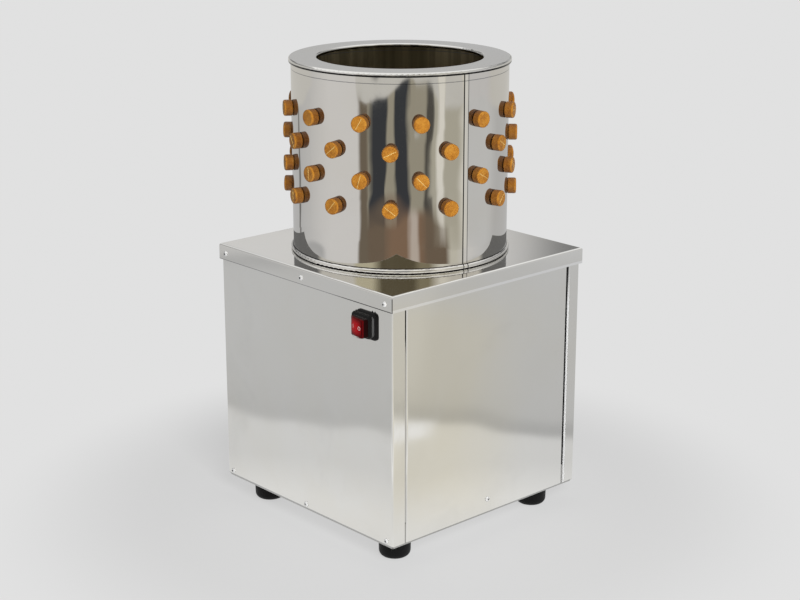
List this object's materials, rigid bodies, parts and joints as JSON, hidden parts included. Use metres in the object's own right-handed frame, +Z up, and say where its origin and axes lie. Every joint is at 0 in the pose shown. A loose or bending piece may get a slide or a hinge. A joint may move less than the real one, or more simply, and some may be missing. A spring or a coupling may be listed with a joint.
{
  "type": "poultry plucker",
  "caption": "Small tub poultry plucker: a polished steel drum lined with rubber fingers over a spinning finger plate, on a square cabinet with a belt drive and a rocker switch.",
  "frame": {"origin": "on the floor under the drum's axis", "axes": "+Z up along the drum's axis, -Y out of the front panel with the switch, +X to the right of it"},
  "size_m": [0.366, 0.4016, 0.656],
  "materials": {
    "stainless": "mirror-polished stainless sheet",
    "bright_steel": "bright zinc-plated or ground steel",
    "black_steel": "black paint",
    "cast_housing": "painted casting",
    "cast_pulley": "machined casting",
    "motor_grey": "painted die casting",
    "core_steel": "stacked laminations",
    "copper": "varnished winding",
    "amber_rubber": "moulded natural rubber",
    "black_rubber": "matt moulded rubber",
    "belt_rubber": "wrapped belt",
    "black_plastic": "satin",
    "white_plastic": "satin",
    "red_plastic": "gloss"
  },
  "bodies": {
    "cabinet": {"top_cover": "stainless", "front_panel": "stainless", "rear_panel": "stainless", "left_panel": "stainless", "right_panel": "stainless", "bottom_pan": "stainless", "panel_screws": "bright_steel", "corner_posts": "black_steel", "lower_rails": "black_steel", "upper_rails": "black_steel", "rubber_feet": "black_rubber", "foot_bolts": "bright_steel", "drum_shell": "stainless", "drum_top_ring": "stainless", "drum_brackets": "stainless", "drum_nuts": "bright_steel", "wall_fingers_1": "amber_rubber", "wall_fingers_2": "amber_rubber", "wall_fingers_3": "amber_rubber", "wall_fingers_4": "amber_rubber", "feather_chute": "stainless", "outlet_spout": "stainless", "upper_beam": "black_steel", "drive_plate": "black_steel", "frame_bolts": "bright_steel", "upper_bearing_housing": "cast_housing", "lower_bearing_housing": "cast_housing", "bearing_outer_rings": "bright_steel", "bearing_bolts": "bright_steel", "v_belt": "belt_rubber", "motor_flange": "motor_grey", "motor_housing": "motor_grey", "motor_end_shield": "motor_grey", "motor_fan_cover": "black_steel", "motor_bearings": "bright_steel", "stator_core": "core_steel", "stator_windings": "copper", "motor_bolts": "bright_steel", "terminal_box": "black_plastic", "capacitor": "white_plastic", "motor_cable": "black_rubber", "switch_housing": "black_plastic", "cable_gland": "black_plastic"},
    "plate": {"feather_plate": "stainless", "plate_fingers": "amber_rubber", "plate_hub": "bright_steel", "hub_bolts": "bright_steel", "plate_washer": "bright_steel", "plate_cap_nut": "bright_steel", "main_shaft": "bright_steel", "shaft_keys": "bright_steel", "splash_cup": "black_rubber", "bearing_inner_rings": "bright_steel", "driven_pulley": "cast_pulley"},
    "motor_rotor": {"motor_pulley": "cast_pulley", "motor_shaft": "bright_steel", "rotor_core": "core_steel", "motor_fan": "black_plastic"},
    "bearing_balls": {"bearing_balls": "bright_steel"},
    "rocker": {"switch_rocker": "red_plastic"}
  },
  "joints": [
    {"name": "plate_spin", "type": "hinge", "parent": "cabinet", "child": "plate", "pos_m": [0, 0, 0.393], "axis": [0, 0, 1], "continuous": true},
    {"name": "motor_spin", "type": "hinge", "parent": "cabinet", "child": "motor_rotor", "pos_m": [-0.08, -0.106, 0.116], "axis": [0, 0, 1], "continuous": true},
    {"name": "balls_orbit", "type": "hinge", "parent": "cabinet", "child": "bearing_balls", "pos_m": [0, 0, 0.285], "axis": [0, 0, 1], "continuous": true},
    {"name": "rocker_tilt", "type": "hinge", "parent": "cabinet", "child": "rocker", "pos_m": [0.1347, -0.1877, 0.339], "axis": [0, 0, 1], "range_deg": [0, 18]}
  ],
  "couplings": [
    {"joint": "motor_spin", "follows": "plate_spin", "ratio": 3.9909},
    {"joint": "balls_orbit", "follows": "plate_spin", "ratio": 0.4}
  ]
}
